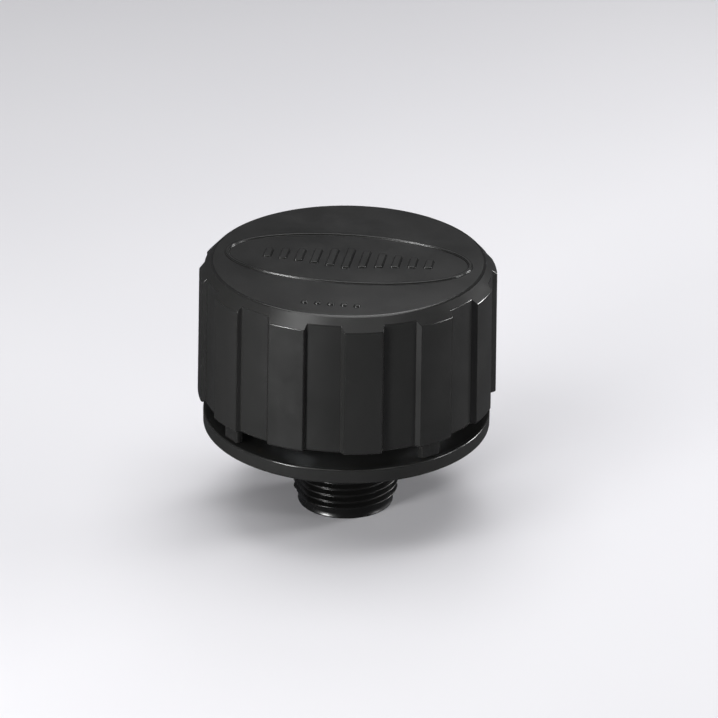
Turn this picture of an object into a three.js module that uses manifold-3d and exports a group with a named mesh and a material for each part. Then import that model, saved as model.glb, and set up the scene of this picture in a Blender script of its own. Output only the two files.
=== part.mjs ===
// Pneumatic muffler with a 3/4-14 NPT spigot: a moulded base, a replaceable pleated element and a
// castellated cap that is turned off by hand. Millimetres, +Z up, origin at the centre of the spigot's
// lower end face, +X along the long axis of the oval emblem on the cap.
//
// Air enters through the spigot, rises inside the cage, passes outwards through the element, runs down
// past the foam liner and leaves through the gap between the cap's skirt and the base flange.

import * as THREE from "three";
import { mergeVertices } from "three/addons/utils/BufferGeometryUtils.js";
import Module from "manifold-3d";

const wasm = await Module();
wasm.setup();

// ---------------------------------------------------------------- driving dimensions

// Rounds
const ROUND = 48; // facets of the flange and the cap
const RING = 24; // facets of the inner rings
const SMALL = 20; // facets of small rounds, and of one turn of a thread

// Fits
const SEAT_GAP = 0.3; // round a piece that sits in a bore
const RUN_GAP = 0.3; // between faces that turn or lift against each other
const BITE = 0.4; // how far features of one moulding run into each other

// Spigot, 3/4-14 NPT
const SPIGOT_LENGTH = 22;
const THREAD_RADIUS = 13.02; // crest at the small end
const PIPE_RADIUS = 13.34; // no crest is further out
const THREAD_PITCH = 25.4 / 14;
const THREAD_DEPTH = 1.35;
const THREAD_TAPER = 1 / 32; // radius per length
const THREAD_START = 1.1;
const THREAD_RUNOUT = 2.6; // plain neck under the flange
const THREAD_ROOT_SHARE = 0.86; // ridge widths as shares of the pitch
const THREAD_CREST_SHARE = 0.16;
const SPIGOT_CHAMFER = 0.9;
const PARTING_FLAT_DEPTH = 0.9; // flats along the mould's parting line
const PARTING_ANGLE = 210; // degrees from +X
const PORT_RADIUS = 9;

// Base flange
const FLANGE_THICKNESS = 3.7;
const FLANGE_SETBACK = 1.35; // flange edge inside the cap's pads
const EDGE_BREAK = 0.45;
const POCKET_DEPTH = 1.6;
const POCKET_COUNT = 8;
const POCKET_RIB = 2.2;
const POCKET_MARGIN = 3.4; // from the flange's edge, and from the spigot
const SEAT_HEIGHT = 0.8; // raised land under the element

// Cage and quick thread
const CAGE_STEP = 0.4; // bore of the cage outside the port's
const CAGE_WALL = 2.2;
const CAGE_FOOT_DEPTH = 2;
const CAGE_FOOT_RIM = 1.2; // foot outside the ribs
const CAGE_RIBS = 6;
const CAGE_RIB_ANGLE = 24; // degrees
const CAGE_ROOF = 2.5; // thickness
const POST_CORE = 5.2; // radius
const QUICK_DEPTH = 1.2;
const QUICK_LEAD = 8;
const QUICK_STARTS = 2;
const QUICK_ROOT = 2; // ridge width at its root
const QUICK_CREST = 1.2; // ridge width at its crest
const POST_LENGTH = 11.7;
const POST_HEADROOM = 1.5; // under the cap's ceiling
const POST_COLLAR = 0.9;
const RIDGE_MARGIN = 1.2; // from a thread's end to the middle of its first ridge
const BUSH_WALL = 1.7;
const BUSH_SINK = 0.8; // top of the bush under the cap's ceiling
const SCREW_RADIUS = 1.9;
const SCREW_REACH = 7.5; // into the post
const SCREW_HEAD_RADIUS = 4;
const SCREW_HEAD_HEIGHT = 2.4;
const SCREW_SOCKET_RADIUS = 1.75;
const SCREW_SOCKET_DEPTH = 1.4;
const WASHER_RADIUS = 5.2;
const WASHER_THICKNESS = 0.8;

// Cap
const CAP_RADIUS = 37.2; // pads at the skirt's foot
const CAP_HEIGHT = 35.4;
const CAP_DRAFT = 0.5; // radius lost from foot to chamfer
const CHAMFER_RUN = 3;
const CHAMFER_DROP = 3.2;
const CAP_WALL = 2.5; // skirt, behind the recesses
const CAP_TOP = 2.8;
const AIR_GAP = 4.7;
const PAD_COUNT = 12;
const PAD_PHASE = 15; // degrees from +X to a pad's middle
const PAD_HEIGHT = 1.2;
const PAD_CREST = 9.4; // width
const PAD_SIDE_RUN = 0.95; // clockwise side, from foot to crest
const PAD_STEEP_RUN = 0.45; // anticlockwise side
const FOOT_COUNT = 4;
const FOOT_PHASE = 45;
const FOOT_WIDTH = 5.4;
const FOOT_DEPTH = 2;
const BOSS_WALL = 2;
const CLAMP_RIB = 2.2; // radial thickness
const CLAMP_DROP = 5.9; // below the ceiling
const STIFFENERS = 6;
const STIFFENER_WIDTH = 1.6;
const STIFFENER_DROP = 3;

// Emblem
const EMBOSS = 0.45;
const OVAL_MARGIN = 3; // oval inside the edge of the top
const OVAL_HALF_WIDTH = 14.8;
const OVAL_RIM = 1;
const OVAL_POINTS = 40;
const WAVE_BARS = 11;
const WAVE_PITCH = 4;
const WAVE_TALLEST = 11.6;
const WAVE_DECAY = 0.17;
const WAVE_BAR = 1.9; // width
const PIP_COUNT = 5;
const PIP_PITCH = 3.2;
const PIP_RADIUS = 0.75;
const PIP_MARGIN = 6.4; // row inside the edge of the top

// Element
const PLENUM = 4.6; // radial space between element and liner
const ELEMENT_CLEARANCE = 0.6; // round the cage and the boss
const END_CAP_LIP = 0.5; // end cap inside the core
const TUBE_WALL = 0.6; // core and guard
const TUBE_BAR = 2; // metal left between windows
const TUBE_ROWS = 2;
const TUBE_COLUMNS = 12;
const PLEATS = 32;
const PAPER = 0.5;
const PLEAT_GAP = 0.35; // to the core and the guard
const CLIP_SHEET = 0.45;
const CLIP_GAP = 0.4; // between the clip and the paper
const CLIP_SHARE = 0.27; // of the fold that the clip covers
const CAP_SHEET = 0.8; // end caps
const CAP_RIM = 3.2;
const POTTING = 1.2;
const SEAL_THICKNESS = 1.5;
const SEAL_MARGIN = 2.4; // seal edge inside the end cap's edge
const SLIP_THICKNESS = 1;
const SLIP_WIDTH = 6;

// Acoustic foam
const LINER_THICKNESS = 2.5;
const LINER_LIFT = 2.2; // bottom of the retaining ring above the skirt's foot
const RETAINER_HEIGHT = 1.2;
const RETAINER_WIDTH = 1.8;
const RETAINER_GAP_ANGLE = 16; // degrees
const GROOVE_DEPTH = 0.7;
const TOP_PAD_THICKNESS = 4.5;

// ---------------------------------------------------------------- sizes that follow

const flangeBottom = SPIGOT_LENGTH;
const flangeTop = flangeBottom + FLANGE_THICKNESS;
const flangeRadius = CAP_RADIUS - FLANGE_SETBACK;
const sealBottom = flangeTop + SEAT_HEIGHT;
const cageFootBottom = sealBottom - CAGE_FOOT_DEPTH;
const skirtFoot = flangeTop + AIR_GAP;
const capTop = skirtFoot + CAP_HEIGHT;
const ceiling = capTop - CAP_TOP;
const padTopRadius = CAP_RADIUS - CAP_DRAFT;
const discRadius = padTopRadius - CHAMFER_RUN;
const recessTopRadius = padTopRadius - PAD_HEIGHT;
const recessFootRadius = CAP_RADIUS - PAD_HEIGHT;
const skirtInner = recessTopRadius - CAP_WALL + CAP_DRAFT;

const bushInner = POST_CORE + QUICK_DEPTH + RUN_GAP;
const bushOuter = bushInner + BUSH_WALL;
const bossOuter = bushOuter + SEAT_GAP + BOSS_WALL;

const cageInner = PORT_RADIUS + CAGE_STEP;
const cageOuter = cageInner + CAGE_WALL;
const cageFoot = cageOuter + CAGE_FOOT_RIM;
const endCapInner = Math.max(cageOuter, bossOuter) + ELEMENT_CLEARANCE;
const coreInner = endCapInner + END_CAP_LIP;
const coreOuter = coreInner + TUBE_WALL;
const linerInner = skirtInner - SEAT_GAP - LINER_THICKNESS;
const elementRadius = linerInner - PLENUM;
const guardOuter = elementRadius - CAP_SHEET - SEAT_GAP;
const guardInner = guardOuter - TUBE_WALL;

const postTop = ceiling - POST_HEADROOM;
const postBottom = postTop - POST_LENGTH;
const cageRoofBottom = postBottom - CAGE_ROOF;
const washerBottom = cageRoofBottom - WASHER_THICKNESS;
const screwHeadBottom = washerBottom - SCREW_HEAD_HEIGHT;
const bushBottom = postBottom + POST_COLLAR + RUN_GAP;
const bushTop = ceiling - BUSH_SINK;

const lowerCapBottom = sealBottom + SEAL_THICKNESS;
const lowerPottingBottom = lowerCapBottom + CAP_SHEET;
const mediaBottom = lowerPottingBottom + POTTING;
const clampFoot = ceiling - CLAMP_DROP;
const slipTop = clampFoot - RUN_GAP;
const slipBottom = slipTop - SLIP_THICKNESS;
const upperSealBottom = slipBottom - RUN_GAP - SEAL_THICKNESS;
const mediaTop = upperSealBottom - CAP_SHEET - POTTING;

const retainerBottom = skirtFoot + LINER_LIFT;
const retainerTop = retainerBottom + RETAINER_HEIGHT;
const topPadBottom = ceiling - TOP_PAD_THICKNESS;
const sealInner = endCapInner + SEAL_MARGIN;
const sealOuter = elementRadius - SEAL_MARGIN;
const clampRadius = (sealInner + sealOuter) / 2;

// ---------------------------------------------------------------- making solids

const rad = THREE.MathUtils.degToRad;

// A closed three.js geometry as a manifold-3d solid with its faces pointing out.
function solid(geometry) {
  const bare = new THREE.BufferGeometry();
  const source = geometry.index ? geometry.toNonIndexed() : geometry;
  bare.setAttribute("position", source.getAttribute("position"));
  const merged = mergeVertices(bare, 1e-4);
  const vertProperties = merged.attributes.position.array;
  const triVerts = new Uint32Array(merged.index.array);
  const build = () => new wasm.Manifold(new wasm.Mesh({ numProp: 3, vertProperties, triVerts }));
  const made = build();
  if (made.volume() > 0) return made;
  for (let i = 0; i < triVerts.length; i += 3) {
    [triVerts[i], triVerts[i + 1]] = [triVerts[i + 1], triVerts[i]];
  }
  return build();
}

// A manifold-3d solid as a three.js geometry.
function geometryOf(made) {
  const { numProp, vertProperties, triVerts, numVert } = made.getMesh();
  const positions = new Float32Array(numVert * 3);
  for (let i = 0; i < numVert; i++) {
    positions.set(vertProperties.subarray(i * numProp, i * numProp + 3), i * 3);
  }
  const geometry = new THREE.BufferGeometry();
  geometry.setAttribute("position", new THREE.BufferAttribute(positions, 3));
  geometry.setIndex(new THREE.BufferAttribute(triVerts, 1));
  geometry.computeVertexNormals();
  return geometry;
}

// A profile of [radius, height] points turned about Z. A profile off the axis is closed here.
function turned(profile, facets) {
  const onAxis = profile[0][0] === 0;
  const points = (onAxis ? profile : [...profile, profile[0]]).map(([r, z]) => new THREE.Vector2(r, z));
  return solid(new THREE.LatheGeometry(points, facets).rotateX(Math.PI / 2));
}

// A plain ring between two radii and two heights.
function ring(inner, outer, bottom, top, facets = RING) {
  return turned([[inner, bottom], [outer, bottom], [outer, top], [inner, top]], facets);
}

function disc(radius, bottom, top, facets = RING) {
  return turned([[0, bottom], [radius, bottom], [radius, top], [0, top]], facets);
}

// A flat outline of [x, y] points, with optional holes, raised from one height to another.
function raised(outline, bottom, top, holes = []) {
  const toPoints = (list) => list.map(([x, y]) => new THREE.Vector2(x, y));
  const shape = new THREE.Shape(toPoints(outline));
  shape.holes = holes.map((hole) => new THREE.Path(toPoints(hole)));
  const geometry = new THREE.ExtrudeGeometry(shape, { depth: top - bottom, bevelEnabled: false });
  return solid(geometry.translate(0, 0, bottom));
}

// A block whose middle line runs out along +X from one radius to another.
function spoke(inner, outer, width, bottom, top) {
  const half = width / 2;
  return raised([[inner, -half], [outer, -half], [outer, half], [inner, half]], bottom, top);
}

const turn = (made, degrees) => solid(geometryOf(made).rotateZ(rad(degrees)));

const move = (made, x, y) => solid(geometryOf(made).translate(x, y, 0));

// Copies spaced evenly round Z, joined.
function around(made, count, phase = 0) {
  const copies = Array.from({ length: count }, (_, i) => turn(made, phase + (i * 360) / count));
  return wasm.Manifold.union(copies);
}

// A trapezium swept along a right-hand helix. Its root is sunk into the wall that it stands on, and its
// crest may be further out or, in a nut, further in. Both ends fade into the root over four steps.
function helixRidge(ridge) {
  const { root, crest, rootWidth, crestWidth, lead, bottom, top } = ridge;
  const { phase = 0, taper = 0, limit = Infinity } = ridge;
  const outwards = Math.sign(crest - root);
  const steps = Math.round(((top - bottom) / lead) * SMALL);
  const positions = [];
  const indices = [];
  for (let i = 0; i <= steps; i++) {
    const rise = (lead * i) / SMALL;
    const angle = rad(phase) + (i / SMALL) * 2 * Math.PI;
    const fade = Math.min(1, (1 + i) / 5, (1 + steps - i) / 5);
    const grow = (bottom + rise) * taper;
    const foot = root - outwards * BITE + grow;
    const tip = Math.min(root + (crest - root) * fade + grow, limit);
    const section = [
      [foot, -rootWidth / 2],
      [tip, -crestWidth / 2],
      [tip, crestWidth / 2],
      [foot, rootWidth / 2],
    ];
    for (const [r, z] of section) {
      positions.push(r * Math.cos(angle), r * Math.sin(angle), bottom + rise + z);
    }
  }
  for (let i = 0; i < steps; i++) {
    for (let k = 0; k < 4; k++) {
      const a = i * 4 + k;
      const b = i * 4 + ((k + 1) % 4);
      indices.push(a, b, b + 4, a, b + 4, a + 4);
    }
  }
  const end = steps * 4;
  indices.push(0, 2, 1, 0, 3, 2, end, end + 1, end + 2, end, end + 2, end + 3);
  const geometry = new THREE.BufferGeometry();
  geometry.setAttribute("position", new THREE.Float32BufferAttribute(positions, 3));
  geometry.setIndex(indices);
  return solid(geometry);
}

// ---------------------------------------------------------------- base

// Tapered pipe-thread spigot with two flats along the parting line.
function spigot() {
  const root = THREAD_RADIUS - THREAD_DEPTH;
  const neck = flangeBottom - THREAD_RUNOUT;
  const core = turned(
    [
      [0, 0],
      [THREAD_RADIUS - SPIGOT_CHAMFER, 0],
      [root + THREAD_START * THREAD_TAPER, THREAD_START],
      [root + neck * THREAD_TAPER, neck],
      [root + neck * THREAD_TAPER, flangeBottom + BITE],
      [0, flangeBottom + BITE],
    ],
    SMALL,
  );
  const ridge = helixRidge({
    root,
    crest: THREAD_RADIUS,
    rootWidth: THREAD_PITCH * THREAD_ROOT_SHARE,
    crestWidth: THREAD_PITCH * THREAD_CREST_SHARE,
    lead: THREAD_PITCH,
    bottom: THREAD_START + THREAD_PITCH / 2,
    top: neck,
    taper: THREAD_TAPER,
    limit: PIPE_RADIUS,
  });
  const reach = 2 * THREAD_RADIUS;
  const flat = spoke(
    THREAD_RADIUS - PARTING_FLAT_DEPTH,
    reach,
    reach,
    THREAD_START / 2,
    neck + THREAD_PITCH / 2,
  );
  return core.add(ridge).subtract(around(flat, 2, PARTING_ANGLE));
}

// Round flange with a low land for the element and moulding pockets underneath.
function flange() {
  const body = turned(
    [
      [0, flangeBottom],
      [flangeRadius - EDGE_BREAK, flangeBottom],
      [flangeRadius, flangeBottom + EDGE_BREAK],
      [flangeRadius, flangeTop - EDGE_BREAK],
      [flangeRadius - EDGE_BREAK, flangeTop],
      [elementRadius, flangeTop],
      [elementRadius - EDGE_BREAK, sealBottom],
      [0, sealBottom],
    ],
    ROUND,
  );
  const neckRadius = THREAD_RADIUS + SPIGOT_LENGTH * THREAD_TAPER;
  const trough = ring(
    neckRadius + POCKET_MARGIN,
    flangeRadius - POCKET_MARGIN,
    flangeBottom - BITE,
    flangeBottom + POCKET_DEPTH,
  );
  const rib = spoke(neckRadius, flangeRadius, POCKET_RIB, flangeBottom - 1, flangeTop);
  return body.subtract(trough.subtract(around(rib, POCKET_COUNT)));
}

// The moulding that carries everything else: spigot, flange and the seat of the cage.
function baseBody() {
  const port = disc(PORT_RADIUS, -1, sealBottom + 1);
  const cageSeat = disc(cageFoot + SEAT_GAP, cageFootBottom, sealBottom + 1);
  return spigot().add(flange()).subtract(port).subtract(cageSeat);
}

// A pie slice about +X.
function sector(radius, degrees, bottom, top) {
  const far = radius / Math.cos(rad(degrees / 2));
  const x = far * Math.cos(rad(degrees / 2));
  const y = far * Math.sin(rad(degrees / 2));
  return raised([[0, 0], [x, -y], [x, y]], bottom, top);
}

// Upright ribs on a foot ring, under the disc on which the threaded post stands.
function postCage() {
  const footRing = ring(cageInner, cageFoot, cageFootBottom, sealBottom);
  const wall = ring(cageInner, cageOuter, sealBottom - BITE, cageRoofBottom + BITE);
  const rib = sector(cageOuter + 1, CAGE_RIB_ANGLE, cageFootBottom, postBottom);
  const roof = disc(cageOuter, cageRoofBottom, postBottom);
  const screwHole = disc(SCREW_RADIUS + SEAT_GAP, cageRoofBottom - 1, postBottom + 1, SMALL);
  return footRing.add(wall.intersect(around(rib, CAGE_RIBS))).add(roof).subtract(screwHole);
}

// ---------------------------------------------------------------- quick thread

// The ridges of the two-start thread that holds the cap, on the post or in the bush.
function quickRidges(root, crest, bottom, top, phase) {
  const starts = Array.from({ length: QUICK_STARTS }, (_, i) =>
    helixRidge({
      root,
      crest,
      rootWidth: QUICK_ROOT,
      crestWidth: QUICK_CREST,
      lead: QUICK_LEAD,
      bottom,
      top,
      phase: phase + (i * 360) / QUICK_STARTS,
    }),
  );
  return wasm.Manifold.union(starts);
}

// The turn that a ridge starting at this height needs to lie on the one common helix.
const helixPhase = (height) => (height / QUICK_LEAD) * 360;

// Post with the thread that the cap turns on, bored from below for its screw.
function threadPost() {
  const first = postBottom + POST_COLLAR + RIDGE_MARGIN;
  const collar = disc(POST_CORE + QUICK_DEPTH, postBottom, postBottom + POST_COLLAR, SMALL);
  const core = turned(
    [
      [0, postBottom],
      [POST_CORE, postBottom],
      [POST_CORE, postTop - EDGE_BREAK],
      [POST_CORE - EDGE_BREAK, postTop],
      [0, postTop],
    ],
    SMALL,
  );
  const crest = POST_CORE + QUICK_DEPTH;
  const ridges = quickRidges(POST_CORE, crest, first, postTop - RIDGE_MARGIN, helixPhase(first));
  const bore = disc(SCREW_RADIUS + SEAT_GAP, postBottom - 1, postBottom + SCREW_REACH + SEAT_GAP, SMALL);
  return core.add(collar).add(ridges).subtract(bore);
}

// The cap's nut, whose ridges lie midway between the post's.
function threadBush() {
  const first = bushBottom + RIDGE_MARGIN;
  const between = 180 / QUICK_STARTS;
  const sleeve = ring(bushInner, bushOuter, bushBottom, bushTop, SMALL);
  const crest = POST_CORE + RUN_GAP;
  const phase = helixPhase(first) + between;
  return sleeve.add(quickRidges(bushInner, crest, first, bushTop - RIDGE_MARGIN, phase));
}

// Pan-head screw with a hexagon socket, up through the cage's roof into the post.
function postScrew() {
  const head = disc(SCREW_HEAD_RADIUS, screwHeadBottom, washerBottom, SMALL);
  const shank = disc(SCREW_RADIUS, washerBottom - BITE, postBottom + SCREW_REACH, SMALL);
  const socket = disc(SCREW_SOCKET_RADIUS, screwHeadBottom - 1, screwHeadBottom + SCREW_SOCKET_DEPTH, 6);
  return head.add(shank).subtract(socket);
}

function postWasher() {
  return ring(SCREW_RADIUS + SEAT_GAP, WASHER_RADIUS, washerBottom, cageRoofBottom, SMALL);
}

// ---------------------------------------------------------------- element

const seal = (bottom) => ring(sealInner, sealOuter, bottom, bottom + SEAL_THICKNESS);

// A pressed end cap: a flat ring on its outer side, with a rim that stands over the potting.
function endCap(face, rimEnd) {
  const inside = face + Math.sign(rimEnd - face) * CAP_SHEET;
  return turned(
    [
      [endCapInner, face],
      [elementRadius, face],
      [elementRadius, rimEnd],
      [elementRadius - CAP_SHEET, rimEnd],
      [elementRadius - CAP_SHEET, inside],
      [endCapInner, inside],
    ],
    RING,
  );
}

const pottingRing = (bottom) =>
  ring(endCapInner + SEAT_GAP, elementRadius - CAP_SHEET - SEAT_GAP, bottom, bottom + POTTING);

// Sheet tube with rows of windows, used inside and outside the paper.
function windowedTube(inner, outer) {
  const rowHeight = (mediaTop - mediaBottom - TUBE_BAR) / TUBE_ROWS;
  const width = (2 * Math.PI * inner) / TUBE_COLUMNS - TUBE_BAR;
  const rows = Array.from({ length: TUBE_ROWS }, (_, i) => {
    const bottom = mediaBottom + TUBE_BAR + i * rowHeight;
    return around(spoke(inner - 1, outer + 1, width, bottom, bottom + rowHeight - TUBE_BAR), TUBE_COLUMNS);
  });
  return ring(inner, outer, mediaBottom, mediaTop).subtract(wasm.Manifold.union(rows));
}

const mediaInner = coreOuter + PLEAT_GAP;
const mediaOuter = guardInner - PLEAT_GAP;
const clippedTip = mediaOuter - CLIP_SHEET - CLIP_GAP;
const foldHalf = PAPER * 1.1; // half the width of a fold, outside
const tuckHalf = PAPER * 0.1; // the same, inside
const pleatPitch = rad(360 / PLEATS);

// Folded paper as a closed zigzag band. The first fold is shorter, to leave room for the clip on it.
function pleatedMedia() {
  const band = (tipInset, tipHalf, valley, valleyHalf) => {
    const points = [];
    for (let i = 0; i < PLEATS; i++) {
      const tip = (i === 0 ? clippedTip : mediaOuter) - tipInset;
      const corners = [
        [tip, i * pleatPitch - tipHalf / tip],
        [tip, i * pleatPitch + tipHalf / tip],
        [valley, (i + 0.5) * pleatPitch - valleyHalf / valley],
        [valley, (i + 0.5) * pleatPitch + valleyHalf / valley],
      ];
      points.push(...corners.map(([r, a]) => [r * Math.cos(a), r * Math.sin(a)]));
    }
    return points;
  };
  const outside = band(0, foldHalf, mediaInner + PAPER, tuckHalf);
  const inside = band(PAPER, tuckHalf, mediaInner, foldHalf);
  return raised(outside, mediaBottom, mediaTop, [inside.reverse()]);
}

// Channel over the fold where the two ends of the paper meet. Its legs lean as the fold's walls do.
function seamClip() {
  const valley = mediaInner + PAPER;
  const valleyHalf = valley * Math.sin(pleatPitch / 2) - tuckHalf;
  const lean = (valleyHalf - foldHalf) / (clippedTip - valley);
  const web = clippedTip + CLIP_GAP;
  const heel = clippedTip - CLIP_SHARE * (clippedTip - mediaInner);
  const inner = foldHalf + CLIP_GAP;
  const outer = inner + CLIP_SHEET;
  const spread = lean * (web - heel);
  return raised(
    [
      [heel, -outer - spread],
      [web + CLIP_SHEET, -outer],
      [web + CLIP_SHEET, outer],
      [heel, outer + spread],
      [heel, inner + spread],
      [web, inner],
      [web, -inner],
      [heel, -inner - spread],
    ],
    mediaBottom,
    mediaTop,
  );
}

// ---------------------------------------------------------------- cap

// Outside of the cap: twelve pads stand proud of the skirt, and both have a chamfer up to the top.
function skirtAndTop() {
  const slope = CHAMFER_DROP / CHAMFER_RUN;
  const recessed = turned(
    [
      [0, skirtFoot],
      [recessFootRadius, skirtFoot],
      [recessTopRadius, capTop - (recessTopRadius - discRadius) * slope],
      [discRadius, capTop],
      [0, capTop],
    ],
    ROUND,
  );
  const padded = turned(
    [
      [0, skirtFoot],
      [CAP_RADIUS, skirtFoot],
      [padTopRadius, capTop - CHAMFER_DROP],
      [discRadius, capTop],
      [0, capTop],
    ],
    ROUND,
  );
  const halfAt = (radius, run) => PAD_CREST / 2 + ((CAP_RADIUS - radius) * run) / PAD_HEIGHT;
  const near = recessTopRadius - 1;
  const far = CAP_RADIUS + 1;
  const padSlice = raised(
    [
      [near, -halfAt(near, PAD_SIDE_RUN)],
      [far, -halfAt(far, PAD_SIDE_RUN)],
      [far, halfAt(far, PAD_STEEP_RUN)],
      [near, halfAt(near, PAD_STEEP_RUN)],
    ],
    skirtFoot - 1,
    capTop - BITE,
  );
  return recessed.add(padded.intersect(around(padSlice, PAD_COUNT, PAD_PHASE)));
}

function ellipse(halfLength, halfWidth) {
  const points = new THREE.EllipseCurve(0, 0, halfLength, halfWidth).getPoints(OVAL_POINTS);
  return points.slice(0, OVAL_POINTS).map((point) => [point.x, point.y]);
}

// A generic sound sign: bars that die away to both sides inside an oval rim, and a row of pips.
function emblem() {
  const bottom = capTop - BITE;
  const top = capTop + EMBOSS;
  const halfLength = discRadius - OVAL_MARGIN;
  const hole = ellipse(halfLength - OVAL_RIM, OVAL_HALF_WIDTH - OVAL_RIM).reverse();
  const rim = raised(ellipse(halfLength, OVAL_HALF_WIDTH), bottom, top, [hole]);
  const bars = Array.from({ length: WAVE_BARS }, (_, i) => {
    const fromMiddle = i - (WAVE_BARS - 1) / 2;
    const x = fromMiddle * WAVE_PITCH;
    const y = (WAVE_TALLEST / 2) * Math.exp(-WAVE_DECAY * Math.abs(fromMiddle));
    const side = WAVE_BAR / 2;
    return raised([[x - side, -y], [x + side, -y], [x + side, y], [x - side, y]], bottom, top);
  });
  const pips = Array.from({ length: PIP_COUNT }, (_, i) => {
    const x = (i - (PIP_COUNT - 1) / 2) * PIP_PITCH;
    return move(disc(PIP_RADIUS, bottom, top, 8), x, PIP_MARGIN - discRadius);
  });
  return wasm.Manifold.union([rim, ...bars, ...pips]);
}

// The cap as moulded, with its boss, clamping rib, stiffeners and feet.
function capShell() {
  const cavity = turned(
    [
      [0, skirtFoot - 1],
      [skirtInner, skirtFoot - 1],
      [skirtInner, ceiling - CHAMFER_DROP / 2],
      [skirtInner - CHAMFER_RUN / 2, ceiling],
      [0, ceiling],
    ],
    ROUND,
  );
  const groove = ring(
    skirtInner - 1,
    skirtInner + GROOVE_DEPTH,
    retainerBottom - RUN_GAP,
    retainerTop,
    ROUND,
  );
  const boss = disc(bossOuter, bushBottom, ceiling + BITE);
  const clamp = ring(clampRadius - CLAMP_RIB / 2, clampRadius + CLAMP_RIB / 2, clampFoot, ceiling + BITE);
  const stiffener = spoke(
    bossOuter - BITE,
    clampRadius,
    STIFFENER_WIDTH,
    ceiling - STIFFENER_DROP,
    ceiling + BITE,
  );
  const footInner = skirtInner - BITE;
  const foot = spoke(footInner, footInner + FOOT_DEPTH, FOOT_WIDTH, flangeTop + RUN_GAP, skirtFoot + BITE);
  const bushSeat = disc(bushOuter + SEAT_GAP, bushBottom - 1, bushTop);
  return skirtAndTop()
    .subtract(cavity)
    .subtract(groove)
    .add(boss)
    .add(clamp)
    .add(around(stiffener, STIFFENERS))
    .add(around(foot, FOOT_COUNT, FOOT_PHASE))
    .add(emblem())
    .subtract(bushSeat);
}

// Snap ring in the skirt's groove, under the liner.
function linerRetainer() {
  const outer = skirtInner + GROOVE_DEPTH - SEAT_GAP;
  const hoop = ring(outer - RETAINER_WIDTH, outer, retainerBottom, retainerTop);
  const mouth = sector(outer + 1, RETAINER_GAP_ANGLE, retainerBottom - 1, retainerTop + 1);
  return hoop.subtract(turn(mouth, 90));
}

function acousticLiner() {
  return ring(linerInner, skirtInner - SEAT_GAP, retainerTop, topPadBottom);
}

function acousticTopPad() {
  const inner = clampRadius + CLAMP_RIB / 2 + SEAT_GAP;
  return ring(inner, skirtInner - CHAMFER_RUN / 2 - SEAT_GAP, topPadBottom, ceiling);
}

// Loose ring between the turning cap and the still element.
function slipRing() {
  return ring(clampRadius - SLIP_WIDTH / 2, clampRadius + SLIP_WIDTH / 2, slipBottom, slipTop);
}

// ---------------------------------------------------------------- the object

function material(color, roughness, metalness = 0) {
  return new THREE.MeshStandardMaterial({ color, roughness, metalness });
}

const nylon = material(0x2b2c2b, 0.45);
const steel = material(0x9a9ca0, 0.35, 1);
const galvanised = material(0x8d9296, 0.45, 1);
const rubber = material(0x17181a, 0.8);
const paper = material(0xd8c9a0, 0.9);
const potting = material(0x2f6a4f, 0.6);
const foam = material(0x3a3b3d, 0.95);
const acetal = material(0xe6e3da, 0.4);

const muffler = new THREE.Group();

function place(group, name, made, finish) {
  const mesh = new THREE.Mesh(geometryOf(made), finish);
  mesh.name = name;
  group.add(mesh);
}

const base = new THREE.Group();
place(base, "base_body", baseBody(), nylon);
place(base, "post_cage", postCage(), nylon);
place(base, "thread_post", threadPost(), acetal);
place(base, "post_screw", postScrew(), steel);
place(base, "post_washer", postWasher(), steel);
muffler.add(base);

const element = new THREE.Group();
place(element, "lower_seal_ring", seal(sealBottom), rubber);
place(element, "lower_end_cap", endCap(lowerCapBottom, lowerCapBottom + CAP_RIM), galvanised);
place(element, "lower_potting", pottingRing(lowerPottingBottom), potting);
place(element, "element_core", windowedTube(coreInner, coreOuter), galvanised);
place(element, "pleated_media", pleatedMedia(), paper);
place(element, "seam_clip", seamClip(), galvanised);
place(element, "outer_guard", windowedTube(guardInner, guardOuter), galvanised);
place(element, "upper_potting", pottingRing(mediaTop), potting);
place(element, "upper_end_cap", endCap(upperSealBottom, upperSealBottom - CAP_RIM), galvanised);
place(element, "upper_seal_ring", seal(upperSealBottom), rubber);
muffler.add(element);

const cap = new THREE.Group();
place(cap, "slip_ring", slipRing(), acetal);
place(cap, "cap_shell", capShell(), nylon);
place(cap, "thread_bush", threadBush(), acetal);
place(cap, "acoustic_liner", acousticLiner(), foam);
place(cap, "acoustic_top_pad", acousticTopPad(), foam);
place(cap, "liner_retainer", linerRetainer(), steel);
muffler.add(cap);

export default muffler;
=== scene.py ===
"""Looks of the pneumatic muffler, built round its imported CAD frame.

Meshes are worked out in millimetres and written in metres. Angles are in degrees in the constants and in
radians elsewhere, anticlockwise from +X seen from above. A moulding is one closed shell: rings of points
joined by bands, with flat plates where a ring isn't followed by another.
"""

import math

import bmesh
import bpy
import numpy as np
from mathutils import Matrix, Vector, noise
from mathutils.geometry import tessellate_polygon


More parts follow.
